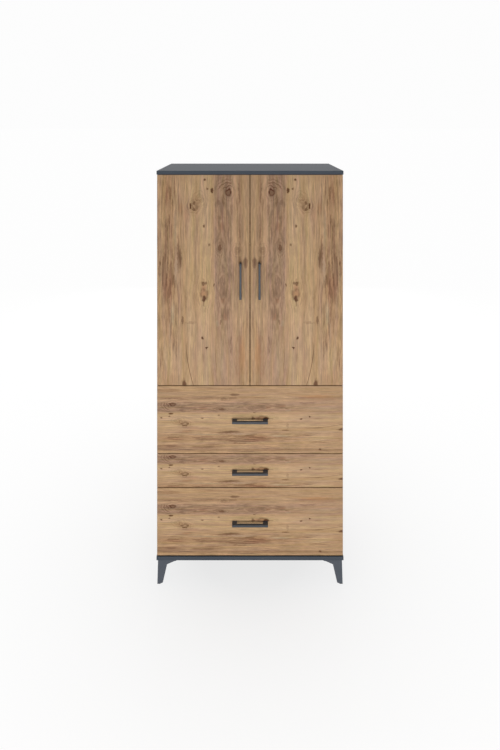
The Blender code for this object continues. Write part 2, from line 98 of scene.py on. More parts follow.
class Graph:
    """Adds nodes to one material or group and hands back their outputs."""

    def __init__(self, tree):
        self.tree = tree

    def fill(self, socket, value):
        if isinstance(value, bpy.types.NodeSocket):
            self.tree.links.new(value, socket)
        else:
            socket.default_value = value

    def add(self, kind, *values):
        """A new node with its sockets filled in turn."""
        node = self.tree.nodes.new("ShaderNode" + kind)
        for socket, value in zip(node.inputs, values):
            self.fill(socket, value)
        return node

    def math(self, operation, *values):
        node = self.add("Math", *values)
        node.operation = operation
        return node.outputs[0]

    def times(self, first, second):
        return self.math("MULTIPLY", first, second)

    def plus(self, first, second):
        return self.math("ADD", first, second)

    def minus(self, first, second):
        return self.math("SUBTRACT", first, second)

    def size(self, value):
        """A number without its sign."""
        return self.math("ABSOLUTE", value)

    def vector(self, operation, *values):
        node = self.add("VectorMath", *values)
        node.operation = operation
        return node.outputs["Value" if operation in ("LENGTH", "DISTANCE") else "Vector"]

    def join(self, x, y, z=0.0):
        return self.add("CombineXYZ", x, y, z).outputs[0]

    def split(self, vector):
        return self.add("SeparateXYZ", vector).outputs

    def noise(self, vector, detail=3.0, roughness=0.5):
        return self.add("TexNoise", vector, 0, 1, detail, roughness).outputs[0]

    def speckle(self, scale, detail, roughness=0.5):
        """A noise over the whole model, with its scale a metre along X, Y and Z."""
        return self.noise(self.vector("MULTIPLY", self.coordinates(), scale), detail, roughness)

    def between(self, value, low, high, start=0.0, end=1.0):
        """Runs smoothly from start to end while value goes from low to high."""
        node = self.add("MapRange", value, low, high, start, end)
        node.interpolation_type = "SMOOTHSTEP"
        return node.outputs[0]

    def mix(self, factor, first, second):
        node = self.add("Mix")
        node.data_type = "RGBA"
        for index, value in zip((0, 6, 7), (factor, first, second)):
            self.fill(node.inputs[index], value)
        return node.outputs[2]

    def ramp(self, value, stops):
        node = self.add("ValToRGB", value)
        elements = node.color_ramp.elements
        while len(elements) < len(stops):
            elements.new(0)
        for element, (place, colour) in zip(elements, stops):
            element.position = place
            element.color = colour
        return node.outputs[0]

    def coordinates(self):
        return self.add("TexCoord").outputs["Object"]


def new_material(name, shine=0.5):
    """A material with its graph and its shader."""
    material = bpy.data.materials.new(name)
    material.use_nodes = True
    g = Graph(material.node_tree)
    shader = g.tree.nodes["Principled BSDF"]
    shader.inputs["Specular IOR Level"].default_value = shine
    return material, g, shader


def two_tones(g, noise, tones, low=0.35, high=0.65):
    """From the dark tone to the light one as a noise rises."""
    return g.mix(g.between(noise, low, high), *tones)


def dress(g, shader, colour, noise, rough, relief=0, span=(0.3, 0.7), distance=0.0002):
    """Gives a shader its colour, its roughness from a noise and, where wanted, the relief of that noise."""
    g.fill(shader.inputs["Base Color"], colour)
    g.fill(shader.inputs["Roughness"], g.between(noise, *span, *rough))
    if relief:
        bump = g.add("Bump", relief, distance)
        g.fill(bump.inputs["Height"], noise)
        g.fill(shader.inputs["Normal"], bump.outputs[0])


# Tones of the printed boards
TAN = srgb(176, 142, 106)
HONEY = srgb(187, 155, 118)
PALE_HONEY = srgb(196, 164, 126)
ROSY = srgb(180, 145, 114)
BROWN = srgb(156, 123, 92)
RUSSET = srgb(168, 133, 99)
GREY_BROWN = srgb(147, 117, 91)
COOL_GREY = srgb(170, 148, 120)
REDDISH = srgb(158, 112, 82)
WARM = srgb(174, 127, 87)
# The edge band's tone, which also stands for painted shade in the gaps between the fronts
EDGE_BAND_AND_GAP_SHADE = srgb(98, 66, 38)
UMBER = srgb(124, 92, 68)
DARK_BROWN = srgb(92, 54, 31)
KNOT = srgb(78, 34, 4)

# Dark and light tones of the coatings, the boards and the metals, and tones of pores and of clouds in fibre
LEG_TONES = srgb(70, 75, 83), srgb(85, 90, 99)
HANDLE_TONES = srgb(58, 61, 66), srgb(71, 74, 80)
DARK_BOARD_TONES = srgb(56, 63, 72), srgb(69, 76, 85)
BOX_TONES = srgb(196, 166, 128), srgb(212, 185, 149)
BOX_PORES = srgb(170, 137, 100)
BOTTOM_TONES = srgb(192, 160, 121), srgb(209, 181, 144)
FIBRE_TONES = srgb(132, 101, 72), srgb(158, 127, 96)
FIBRE_CLOUD = srgb(140, 110, 80)
NICKEL_TONES = srgb(188, 187, 183), srgb(203, 202, 198)
ZINC_TONES = srgb(172, 175, 178), srgb(190, 193, 196)
PIN_METAL = srgb(196, 196, 194)
PLASTIC_TONES = srgb(24, 24, 26), srgb(38, 38, 41)

# How the powder coat and the dark laminate look: shine, noise scales and detail, clouds, roughness, relief
POWDER = (0.35, (1800, 1800, 1800), (40, 40, 40), 2, 0.3, (0.42, 0.52), 0.2)
LAMINATE = (0.3, (500, 900, 900), (9, 20, 20), 3, 0.35, (0.5, 0.6), 0.15)

# The print's tables, in millimetres and per cent. First the tones of its boards across it, from the gap
# between the doors
STAVES = (
    (0, TAN), (30, TAN), (50, BROWN), (60, TAN), (78, ROSY), (168, ROSY), (176, TAN), (196, HONEY),
    (232, HONEY), (262, TAN), (284, HONEY), (318, TAN), (358, TAN), (378, RUSSET), (406, RUSSET),
    (424, TAN), (447, TAN), (470, TAN), (490, BROWN), (515, TAN),
)
STAVE_SPAN = 600

# The grey board's two edges and how softly each begins and ends, in metres. It pales towards its foot
GREY_STAVE_START = (0.0825, 0.0925)
GREY_STAVE_END = (0.1630, 0.1720)
GREY_FADES = (0.50, 0.80)

# Small dark knots, by how many times longer than wide they are: across, along, half width, strength
KNOTS = (
    (1.2, (
        (218, 27, 4.7, 85), (205, 69, 4.4, 72), (182, 76, 6, 90), (270, 137, 5.9, 55), (271, 165, 6.1, 65),
        (222, 243, 4.8, 80), (196, 336, 4.2, 60), (225, 520, 7.4, 72), (221, 598, 8.3, 90),
        (228, 786, 4.6, 90), (209, 835, 4.5, 95), (487, 890, 6.3, 75),
    )),
    (2.5, (
        (286, 150, 3.7, 90), (145, 350, 6.9, 62), (172, 528, 2.6, 60), (212, 521, 3.9, 62),
        (142, 708, 3.6, 42), (316, 1006, 7.6, 80),
    )),
)

# Dark streaks along the grain, written in the same way. The first is a crack across the grain
STREAKS = (
    (0.15, ((286, 712, 20, 35),)),
    (1.2, ((150, 134, 6.3, 35),)),
    (2.5, (
        (377, 270, 9.8, 35), (345, 455, 4.7, 45), (373, 505, 9.3, 80), (413, 515, 8.4, 65),
        (22, 422, 7.5, 75), (50, 415, 6.5, 45), (216, 650, 3.3, 30), (226, 508, 2.9, 60),
        (32, 1001, 3.5, 40),
    )),
    (6, (
        (384, 88, 3.8, 90), (365, 80, 2.7, 50), (374, 135, 2.8, 45), (389, 220, 3.6, 70),
        (337, 398, 6.5, 90), (433, 425, 2.7, 100), (410, 405, 4.2, 85), (412, 465, 8.4, 60),
        (405, 365, 5.9, 50), (437, 465, 4.1, 60), (374, 375, 3.5, 50), (380, 442, 3.6, 70),
        (380, 475, 5.7, 70), (384, 535, 4.9, 85), (389, 562, 3.9, 75), (406, 560, 7.5, 60),
        (61, 140, 4.6, 30), (52, 215, 4.1, 35), (51, 278, 3.7, 50), (60, 230, 5, 25), (90, 170, 3.2, 40),
        (128, 123, 4.2, 60), (69, 465, 4.2, 25), (219, 615, 2.8, 60), (324, 695, 2.6, 80),
        (365, 800, 4.2, 40), (424, 875, 4.7, 40), (428, 910, 3.5, 45), (101, 815, 3.4, 30),
        (-14, 42, 10, 50), (465, 54, 13.2, 55), (465, 259, 11.3, 50),
    )),
    (14, (
        (401, 110, 3, 45), (402, 275, 4.7, 50), (447, 130, 3.6, 35), (445, 290, 3.9, 35),
        (344, 382, 4.6, 70), (308, 590, 3.1, 30), (52, 85, 3, 60), (51, 370, 2.3, 40), (390, 675, 3.5, 40),
        (359, 670, 2.8, 25), (380, 755, 2.5, 35), (355, 835, 3, 40), (302, 850, 3.5, 25),
        (90, 820, 3.2, 45), (65, 890, 4, 25), (200, 125, 2, 22), (196, 235, 2.5, 20), (264, 380, 3.5, 18),
        (-30, 350, 7.2, 25), (490, 620, 8.3, 15), (395, 425, 2.2, 80), (402, 510, 2.2, 80),
        (389, 485, 1.8, 75), (418, 425, 1.8, 75), (368, 430, 1.8, 60), (364, 545, 1.8, 60),
        (396, 590, 2, 60),
    )),
)

# Soft patches, written in the same way with the tone at the end
PATCHES = (
    (1.2, (
        (270, 150, 42.8, 35, BROWN), (145, 205, 11.8, 35, DARK_BROWN), (135, 320, 18.2, 30, UMBER),
        (132, 605, 12.1, 50, REDDISH), (120, 670, 28.3, 55, UMBER), (221, 540, 14, 60, REDDISH),
        (221, 572, 20.5, 55, REDDISH),
    )),
    (2.5, (
        (395, 540, 33.5, 45, REDDISH), (385, 890, 45, 60, PALE_HONEY), (335, 160, 13, 45, WARM),
        (305, 190, 16.7, 30, REDDISH), (235, 180, 17.9, 30, ROSY), (140, 50, 31, 35, GREY_BROWN),
        (135, 185, 14.1, 60, UMBER), (136, 250, 12.1, 45, REDDISH), (130, 530, 18, 35, GREY_BROWN),
        (118, 685, 8, 45, REDDISH), (156, 715, 7.2, 60, COOL_GREY), (60, 790, 8.9, 40, REDDISH),
        (43, 830, 5.4, 45, REDDISH), (40, 935, 6, 30, REDDISH), (55, 960, 7.5, 30, REDDISH),
        (18, 650, 26.5, 30, ROSY), (328, 70, 26, 50, HONEY),
    )),
    (6, (
        (45, 680, 17, 60, PALE_HONEY), (220, 880, 17, 55, RUSSET), (333, 950, 14, 55, PALE_HONEY),
        (402, 810, 20, 45, HONEY), (402, 360, 21.9, 55, BROWN), (395, 85, 11.8, 35, REDDISH),
        (372, 670, 12.2, 65, COOL_GREY), (435, 490, 7.3, 40, COOL_GREY), (340, 820, 17.9, 50, HONEY),
        (285, 290, 12.2, 70, HONEY), (105, 240, 8.2, 15, UMBER), (135, 880, 21.8, 30, COOL_GREY),
        (55, 830, 9.1, 50, BROWN), (38, 870, 17.3, 65, WARM), (186, 540, 11, 65, HONEY),
        (200, 460, 17.3, 30, HONEY),
    )),
    (14, (
        (360, 260, 8.5, 55, COOL_GREY), (356, 455, 5.9, 50, COOL_GREY), (385, 760, 5.5, 50, COOL_GREY),
    )),
)

# Knots with rings: across, along, half width, half length, strength of rim and waves, tone of the heart
RING_KNOTS = (
    (104, 85, 13.5, 18.5, 100, 30, UMBER), (268, 151, 15, 15, 35, 30, TAN),
    (244, 115, 15, 17, 22, 25, TAN), (60, 365, 12, 16, 35, 20, BROWN), (145, 350, 9.5, 20, 30, 25, UMBER),
    (220.5, 573, 18, 27, 45, 12, WARM), (130, 545, 12, 48, 10, 20, GREY_BROWN),
)
GRAIN_PUSH = 0.6
RING_HEART_SHARE = 0.36
RING_WAVES = 12

# Arcs of grain that crown the first ring knot. From here on in metres: where they begin and end across and
# how they fade down
CROWN = (98, 108, 40, 42)
CROWN_WAVES = 16
CROWN_STRENGTH = 0.85
CROWN_START = (0.084, 0.094)
CROWN_END = (0.150, 0.170)
CROWN_FADES = (0.055, 0.080)

# One long curved line of grain
CURVE_START = (0.3083, 0.7814)
CURVE_REACH = (0.0323, 0.2196)
CURVE_WIDTH = 0.0016
CURVE_STRENGTH = 0.65

# Noises that move the print: scale a metre across and along, detail and roughness, and reach in metres
BEND = (65, 38, 2, 0.5), 0.014
BEND_ALONG = (48, 52, 1, 0.5), 0.026
FRAY = (280, 60, 2, 0.5), 0.006
WANDER = (7, 2.2, 2, 0.5), 0.035

# Noises of the grain, written in the same way but for the reach
GRAIN = {
    "zones": (22, 1.3, 2, 0.5),
    "broad": (60, 2.6, 3, 0.55),
    "hue": (45, 3.0, 3, 0.5),
    "warmth": (80, 6.0, 2, 0.5),
    "mottle": (70, 18, 3, 0.6),
    "stripe": (130, 5.0, 3, 0.55),
    "medium": (260, 9.0, 3, 0.6),
    "fine": (900, 26, 4, 0.65),
    "pores": (1500, 55, 2, 0.5),
}

# How much light and dark, yellow and rose they bring, and how much more there is on the outer boards
WILD_DEPTHS = {"mottle": 0.56, "stripe": 0.52, "medium": 1.15, "fine": 0.95}
EVEN_DEPTHS = {"zones": 0.22, "broad": 0.34}
YELLOW_DEPTH = -0.58
ROSE_DEPTH = 0.28
WILD_FROM = (0.315, 0.365)
WILD_SHARE = 1.45
CALM_FROM = (0.6, 0.9)
CALM_SHARE = 0.8

# A front's edge bands: thickness of the band, the line that it draws round the face and how dark that is.
# The line is the band's own darker tone and also painted shade of the gaps between the fronts
BAND_THICK = 0.0004
BAND_AND_GAP_SHADE_LINE = 0.0009
BAND_AND_GAP_SHADE_STRENGTH = 0.5
BAND_PRINT = 0.3

# The print's shine, its length on the sides, and where and how wide it starts on the tall and low drawers
PRINT_SHINE = 0.22
PRINT_REPEAT = 1.05
TALL_PRINT = (-0.0531, 1.7714)
LOW_PRINT = (0.0768, 2.0039)

# How far a spot fades beyond its full part and how large that part is, as shares of its half width
SPOT_FADE = 1.05
KNOT_FULL = 0.7
STREAK_FULL = 0.8
PATCH_FULL = 0.2


def ring(g, place, *oval):
    """How far a place is from the middle of an oval in millimetres, where 1 is its rim."""
    across, along, half_width, half_length = (value / 1000 for value in oval)
    node = g.add("Mapping", place, (across, along, 0), (0, 0, 0), (half_width, half_length, 1))
    node.vector_type = "TEXTURE"
    return g.vector("LENGTH", node.outputs[0])


def spots(g, place, table, full):
    """The mask of each spot in a table and the tone after it, if it has one."""
    for shape, rows in table:
        squeezed = g.vector("MULTIPLY", place, (1, 1 / shape, 1))
        for across, along, half_width, strength, *tone in rows:
            far = g.vector("DISTANCE", squeezed, (across / 1000, along / 1000 / shape, 0))
            inner, outer = half_width / 1000 * full, half_width / 1000 * (full + SPOT_FADE)
            yield g.between(far, inner, outer, strength / 100, 0), tone


def darkest(g, place, table, full):
    """The strongest of several spots, as one mask."""
    mask = 0.0
    for one, _ in spots(g, place, table, full):
        mask = g.math("MAXIMUM", mask, one)
    return mask


def printed_boards():
    """The print of the wood laminate, as a node group.

    Across and Along are metres on a door, from the gap between the doors outwards and from its top down.
    Run is how far a repeated print has already come, so that the grain runs on where the knots repeat.
    """
    group = bpy.data.node_groups.new("printed_boards", "ShaderNodeTree")
    for name in ("Across", "Along", "Run"):
        group.interface.new_socket(name, in_out="INPUT", socket_type="NodeSocketFloat")
    group.interface.new_socket("Colour", in_out="OUTPUT", socket_type="NodeSocketColor")
    group.interface.new_socket("Relief", in_out="OUTPUT", socket_type="NodeSocketFloat")
    g = Graph(group)
    across, along, run = group.nodes.new("NodeGroupInput").outputs[:3]
    length = g.plus(along, run)

    def stretched(value, across_scale, along_scale, detail, roughness):
        scaled = g.join(g.times(value, across_scale), g.times(length, along_scale))
        return g.noise(scaled, detail, roughness)

    def moved(value, noise, reach):
        """A value shifted by a noise, by up to about a quarter of its reach each way."""
        return g.math("MULTIPLY_ADD", g.minus(stretched(across, *noise), 0.5), reach, value)

    # Knots and streaks are bent by a coarse noise and frayed by a fine one
    edge = moved(moved(across, *BEND), *FRAY)
    place = g.join(edge, moved(along, *BEND_ALONG))

    # The grain wanders slowly and is pushed aside by the knots
    flow = moved(across, *WANDER)
    rims = 0.0
    waves = 0.0
    hearts = []
    for *oval, rim, wave, heart in RING_KNOTS:
        far = ring(g, place, *oval)
        push = g.between(far, 0.4, 4.0, GRAIN_PUSH, 0)
        flow = g.minus(flow, g.times(g.minus(across, oval[0] / 1000), push))
        rim, wave = rim / 100, wave / 100
        rim_mask = g.times(g.between(far, RING_HEART_SHARE, 0.85), g.between(far, 0.9, 1.3, rim, 0))
        rims = g.math("MAXIMUM", rims, rim_mask)
        swell = g.math("SINE", g.times(g.math("POWER", far, 0.7), RING_WAVES))
        waves = g.math("MAXIMUM", waves, g.times(swell, g.between(far, 1.2, 3.6, wave, 0)))
        hearts.append((g.between(far, 0.4, 0.9, rim, 0), heart))
    crown = ring(g, place, *CROWN)
    above = g.times(g.between(along, *CROWN_FADES, CROWN_STRENGTH, 0), g.between(crown, 1.0, 3.0, 1, 0))
    inside = g.times(g.between(across, *CROWN_START), g.between(across, *CROWN_END, 1, 0))
    arcs = g.math("SINE", g.times(crown, CROWN_WAVES))
    waves = g.math("MAXIMUM", waves, g.times(arcs, g.times(above, inside)))
    grain = {name: stretched(flow, *noise) for name, noise in GRAIN.items()}

    # Boards side by side, one of them grey at the top of the print and paler at its foot
    stops = [(at / STAVE_SPAN, tone) for at, tone in STAVES]
    colour = g.ramp(g.math("DIVIDE", edge, STAVE_SPAN / 1000), stops)
    stave = g.times(g.between(edge, *GREY_STAVE_START), g.between(edge, *GREY_STAVE_END, 1, 0))
    fading = g.between(along, *GREY_FADES, 1.0, 0.5)
    blotched = g.between(grain["mottle"], 0.35, 0.65, 1.0, 0.5)
    colour = g.mix(g.times(stave, g.times(fading, blotched)), colour, GREY_BROWN)
    for mask, (tone,) in spots(g, place, PATCHES, PATCH_FULL):
        colour = g.mix(mask, colour, tone)

    # Light and dark grain as one factor, stronger on the outer boards, and two drifts of hue
    wild = g.between(across, *WILD_FROM, 1.0, WILD_SHARE)
    wild = g.times(wild, g.between(along, *CALM_FROM, 1.0, CALM_SHARE))
    light = 1.0
    for name, depth in WILD_DEPTHS.items():
        light = g.math("MULTIPLY_ADD", g.minus(grain[name], 0.5), g.times(wild, depth), light)
    for name, depth in EVEN_DEPTHS.items():
        light = g.math("MULTIPLY_ADD", g.minus(grain[name], 0.5), depth, light)
    yellow = g.times(g.minus(grain["hue"], 0.5), YELLOW_DEPTH)
    rosy = g.times(g.minus(grain["warmth"], 0.5), ROSE_DEPTH)
    red = g.plus(light, g.times(rosy, 0.6))
    green = g.minus(light, g.times(rosy, 0.25))
    blue = g.plus(light, g.plus(yellow, g.times(rosy, 0.4)))
    colour = g.vector("MULTIPLY", colour, g.join(red, green, blue))
    colour = g.mix(g.between(grain["stripe"], 0.40, 0.28, 0, 0.45), colour, UMBER)
    colour = g.mix(g.between(grain["pores"], 0.62, 0.74, 0, 0.25), colour, DARK_BROWN)

    for mask, tone in hearts:
        colour = g.mix(mask, colour, tone)
    fibres = g.between(grain["medium"], 0.30, 0.62, 1.0, 0.55)
    streaks = g.times(darkest(g, place, STREAKS, STREAK_FULL), fibres)
    broken = g.between(stretched(across, *BEND[0]), 0.32, 0.60, 0.55, 1.0)
    knots = g.math("MAXIMUM", darkest(g, place, KNOTS, KNOT_FULL), g.times(rims, broken))
    colour = g.mix(waves, colour, DARK_BROWN)
    colour = g.mix(streaks, colour, DARK_BROWN)

    # The curved line bends away from the grain as the square of how far it has come
    start_across, start_along = CURVE_START
    sideways, down = CURVE_REACH
    come = g.math("DIVIDE", g.minus(along, start_along), down)
    bowed = g.times(g.math("POWER", come, 2), sideways)
    aside = g.plus(g.minus(across, start_across), bowed)
    curve = g.between(g.size(aside), CURVE_WIDTH * 0.5, CURVE_WIDTH * 1.8, CURVE_STRENGTH, 0)
    curve = g.times(curve, g.between(come, 0.0, 0.45))
    colour = g.mix(curve, colour, DARK_BROWN)
    colour = g.mix(knots, colour, KNOT)

    relief = g.math("MULTIPLY_ADD", grain["fine"], 0.6, g.times(grain["medium"], 0.3))
    end = group.nodes.new("NodeGroupOutput")
    for value, socket in zip((colour, relief), end.inputs):
        g.fill(socket, value)
    return group


boards_print = printed_boards()


def print_on(g, shader, across, along, run=0.0):
    """Covers a material with the printed boards and hands back their colour."""
    shader.inputs["Specular IOR Level"].default_value = PRINT_SHINE
    printed = g.add("Group")
    printed.node_tree = boards_print
    for socket, value in zip(printed.inputs, (across, along, run)):
        g.fill(socket, value)
    colour, relief = printed.outputs
    dress(g, shader, colour, relief, (0.62, 0.5), 0.2, (0.2, 0.8))
    return colour


def along_the_edge(g, from_middle, half, face_value, band_value):
    """Picks the edge band's value on a board's two ends, which lie half its length from its middle."""
    on_end = g.math("GREATER_THAN", g.size(from_middle), half - BAND_THICK)
    apart = g.minus(band_value, face_value)
    return g.math("MULTIPLY_ADD", on_end, apart, face_value)


def band_edges_and_gap_shade(g, shader, printed, aside, half_width, upward, half_height):
    """Darkens a front's edge bands, which lie half its width and half its height from its middle: the band's
    own tone and painted shade of the gaps between the fronts.
    """
    on_side = g.math("GREATER_THAN", aside, half_width - BAND_AND_GAP_SHADE_LINE)
    on_end = g.math("GREATER_THAN", upward, half_height - BAND_AND_GAP_SHADE_LINE)
    # One dark line round the face: the band's own tone and painted shade of the gaps
    band = g.times(g.math("MAXIMUM", on_side, on_end), BAND_AND_GAP_SHADE_STRENGTH)
    g.fill(shader.inputs["Base Color"], g.mix(band, printed, EDGE_BAND_AND_GAP_SHADE))


def door_laminate():
    """Grain upright. The right door mirrors the left, so the print follows the distance from the middle."""
    material, g, shader = new_material("door_laminate")
    x, y, z = g.split(g.coordinates())
    aside = g.size(x)
    depth = g.minus(y, front_face)
    from_middle = g.minus(z, (door_low + door_high) / 2)
    half = door_length / 2
    across = along_the_edge(g, from_middle, half, g.plus(aside, depth), g.plus(depth, BAND_PRINT))
    along = along_the_edge(g, from_middle, half, g.minus(door_high, z), aside)
    printed = print_on(g, shader, across, along)
    upright = (door_edge + front_edge) / 2
    from_upright = g.size(g.minus(aside, upright))
    band_edges_and_gap_shade(g, shader, printed, from_upright, front_edge - upright, g.size(from_middle), half)
    return material


def drawer_laminate(name, low, top, print_start, print_scale):
    """Grain level. The door's print is laid on its side, over the drawer's whole width."""
    material, g, shader = new_material(name)
    x, y, z = g.split(g.coordinates())
    depth = g.minus(y, front_face)
    down = g.minus(top, z)
    across = g.plus(g.math("MULTIPLY_ADD", down, print_scale, print_start), depth)
    across = along_the_edge(g, x, front_edge, across, g.plus(depth, BAND_PRINT))
    run_out = g.times(g.plus(x, front_edge), door_length / (2 * front_edge))
    along = along_the_edge(g, x, front_edge, run_out, z)
    printed = print_on(g, shader, across, along)
    half = (top - low) / 2
    from_middle = g.size(g.minus(down, half))
    band_edges_and_gap_shade(g, shader, printed, g.size(x), front_edge, from_middle, half)
    return material


def side_laminate():
    """Grain upright, on the sides of the body. The shelf pins that stand in them are bare metal."""
    material, g, shader = new_material("side_laminate")
    x, y, z = g.split(g.coordinates())
    aside = g.size(x)
    across = g.minus(back_face, g.plus(y, g.minus(outer_side, aside)))
    down = g.minus(side_top, z)
    along = g.math("MODULO", down, PRINT_REPEAT)
    printed = print_on(g, shader, across, along, g.minus(down, along))
    pin = g.math("LESS_THAN", aside, inner_side)
    g.fill(shader.inputs["Base Color"], g.mix(pin, printed, PIN_METAL))
    g.fill(shader.inputs["Metallic"], pin)
    g.fill(shader.inputs["Roughness"], g.math("MULTIPLY_ADD", pin, -0.25, 0.56))
    return material


def coated(name, tones, shine, grain_scale, cloud_scale, detail, clouds, rough, relief):
    """A dark grey coat with a fine grain and faint clouds: powder paint on metal, laminate on a board."""
    material, g, shader = new_material(name, shine)
    grain = g.speckle(grain_scale, detail)
    cloud = g.speckle(cloud_scale, detail)
    colour = g.mix(g.between(cloud, 0.3, 0.7, 0, clouds), two_tones(g, grain, tones), tones[0])
    dress(g, shader, colour, grain, rough, relief)
    return material


def black_plastic():
    material, g, shader = new_material("black_plastic")
    grain = g.speckle((1500, 1500, 1500), 2)
    dress(g, shader, g.mix(grain, *PLASTIC_TONES), grain, (0.45, 0.6), 0.2)
    return material


def shelf_laminate():
    """Grain along the shelves."""
    material, g, shader = new_material("shelf_laminate")
    x, y, z = g.split(g.coordinates())
    across = g.math("MODULO", g.minus(g.plus(y, z), front_face), 0.5)
    print_on(g, shader, across, g.plus(x, 0.5))
    return material


def light_wood_tone(g, run, turned, tones):
    """Plain light wood of two tones, with its grain along run."""
    return two_tones(g, g.noise(g.join(g.times(run, 5), g.times(turned, 170)), 4, 0.6), tones)


def box_laminate():
    """Plain light wood, with the grain along the drawer box's sides."""
    material, g, shader = new_material("drawer_box_laminate")
    x, y, z = g.split(g.coordinates())
    on_back = g.math("LESS_THAN", g.size(x), box_inner)
    run = g.math("MULTIPLY_ADD", on_back, g.minus(x, y), y)
    fine = g.noise(g.join(g.times(run, 30), g.times(z, 900)), 3)
    tone = light_wood_tone(g, run, z, BOX_TONES)
    colour = g.mix(g.between(fine, 0.55, 0.72, 0, 0.4), tone, BOX_PORES)
    dress(g, shader, colour, fine, (0.5, 0.6), 0.15)
    return material


def raw_fibre(g):
    """The brown of raw hardboard, with flecks of fibre."""
    fibre = g.speckle((420, 420, 160), 4, 0.65)
    cloud = g.speckle((14, 14, 14), 2)
    tone = two_tones(g, fibre, FIBRE_TONES, 0.3, 0.7)
    return g.mix(g.between(cloud, 0.3, 0.7, 0, 0.4), tone, FIBRE_CLOUD), fibre


def back_board():
    """Hardboard for the back: printed boards inside, raw fibre at the rear."""
    material, g, shader = new_material("back_hardboard")
    x, y, z = g.split(g.coordinates())
    across = g.math("MULTIPLY_ADD", g.math("PINGPONG", x, 0.25), 1.6, 0.02)
    printed = print_on(g, shader, across, g.minus(side_top, z))
    fibre, _ = raw_fibre(g)
    rear = g.math("GREATER_THAN", y, back_face - 0.002)
    g.fill(shader.inputs["Base Color"], g.mix(rear, printed, fibre))
    return material


def bottom_board(name, low):
    """Hardboard for a drawer's bottom: light wood print above, raw fibre below."""
    material, g, shader = new_material(name)
    x, y, z = g.split(g.coordinates())
    tone = light_wood_tone(g, y, x, BOTTOM_TONES)
    fibre, flecks = raw_fibre(g)
    under = g.math("LESS_THAN", z, low + 0.001)
    dress(g, shader, g.mix(under, tone, fibre), flecks, (0.55, 0.7))
    return material


def plated(name, tones, rough):
    """Bright plated steel, faintly brushed and clouded."""
    material, g, shader = new_material(name)
    shader.inputs["Metallic"].default_value = 1
    brushed = g.speckle((2200, 90, 2200), 3)
    cloud = g.speckle((60, 60, 60), 2)
    colour = two_tones(g, cloud, tones, 0.3, 0.7)
    dress(g, shader, colour, brushed, (rough, rough + 0.1), 0.08, distance=0.0001)
    return material


def set_material(material, *names):
    for name in names:
        for slot in nodes[name].material_slots:
            slot.material = material


scene = bpy.context.scene
camera = bpy.data.objects.new("camera", bpy.data.cameras.new("camera"))
scene.collection.objects.link(camera)
camera.location = (0, front_face - CAMERA_DISTANCE, CAMERA_HEIGHT)
camera.rotation_euler = (math.radians(90), 0, 0)
camera.data.lens = LENS
camera.data.shift_y = LENS_SHIFT
scene.camera = camera
scene.view_settings.view_transform = "Standard"

set_material(door_laminate(), "left_door", "right_door")
for word, its_print in zip(DRAWERS, (TALL_PRINT, LOW_PRINT, TALL_PRINT)):
    low, top = (corner.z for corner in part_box(f"{word}_drawer_front"))
    set_material(drawer_laminate(f"{word}_drawer_laminate", low, top, *its_print), f"{word}_drawer_front")
set_material(side_laminate(), "left_side", "right_side")
set_material(shelf_laminate(), "fixed_shelf", "low_shelf", "high_shelf")
set_material(back_board(), "lower_back", "upper_back")
nickel = plated("nickel_plate", NICKEL_TONES, 0.24)
zinc = plated("zinc_plate", ZINC_TONES, 0.34)
light_wood = box_laminate()
for word in DRAWERS:
    set_material(light_wood, *[f"{word}_drawer_{board}" for board in ("left_side", "right_side", "back")])
    bottom = f"{word}_drawer_bottom"
    set_material(bottom_board(f"{word}_bottom_hardboard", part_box(bottom)[0].z), bottom)
set_material(zinc, *[name for name in nodes if "_rail_" in name])
set_material(nickel, *[name for name in nodes if "_hinge_" in name])

# New pieces, modelled as by hand: a primitive is placed, then shaped in edit mode


def clear():
    """Leaves nothing selected, in object mode."""
    if bpy.context.mode != "OBJECT":
        bpy.ops.object.mode_set(mode="OBJECT")
    bpy.ops.object.select_all(action="DESELECT")


def alone(piece):
    """Leaves one piece selected and active, in object mode."""
    clear()
    piece.select_set(True)
    bpy.context.view_layer.objects.active = piece


def choose(piece, kind, test=None):
    """Opens a piece in edit mode and selects its faces, edges or points: all, or those that pass a test."""
    alone(piece)
    bpy.ops.object.mode_set(mode="EDIT")
    bpy.ops.mesh.select_mode(type=kind)
    bpy.ops.mesh.select_all(action="DESELECT")
    shape = bmesh.from_edit_mesh(piece.data)
    parts = {"FACE": shape.faces, "EDGE": shape.edges, "VERT": shape.verts}[kind]
    for part in parts:
        if not test or test(part):
            part.select_set(True)
    bmesh.update_edit_mesh(piece.data)


def pull(by):
    """Draws the selected faces or edges out of the mesh, in edit mode."""
    bpy.ops.mesh.extrude_region_move(TRANSFORM_OT_translate={"value": by})


def middle_of(part):
    """The middle of a face or an edge."""
    return sum((point.co for point in part.verts), Vector()) / len(part.verts)


def middle(name):
    """The middle of a node's box."""
    low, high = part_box(name)
    return (low + high) / 2


def settle(piece):
    """Leaves edit mode and puts the piece's place, turn and size into its mesh."""
    alone(piece)
    bpy.ops.object.transform_apply(location=True, rotation=True, scale=True)


def block(name, low, high):
    """A block between two corners."""
    low, high = Vector(low), Vector(high)
    clear()
    bpy.ops.mesh.primitive_cube_add(size=1, location=(low + high) / 2)
    piece = bpy.context.object
    piece.name = name
    bpy.ops.transform.resize(value=high - low)
    settle(piece)
    return piece


def copy_of(piece, name):
    """A copy with its own mesh."""
    alone(piece)
    bpy.ops.object.duplicate(linked=False)
    copy = bpy.context.object
    copy.name = name
    return copy


def bevel_sharp(piece, width, segments, angle=40):
    """Rounds a piece's sharp edges."""
    choose(piece, "EDGE", lambda edge: edge.is_manifold and edge.calc_face_angle() > math.radians(angle))
    bpy.ops.mesh.bevel(offset=width, segments=segments, affect="EDGES")
    bpy.ops.object.mode_set(mode="OBJECT")


def smooth(piece, angle=35):
    """Shades a piece smooth, but for its sharp edges."""
    alone(piece)
    bpy.ops.object.shade_smooth_by_angle(angle=math.radians(angle))


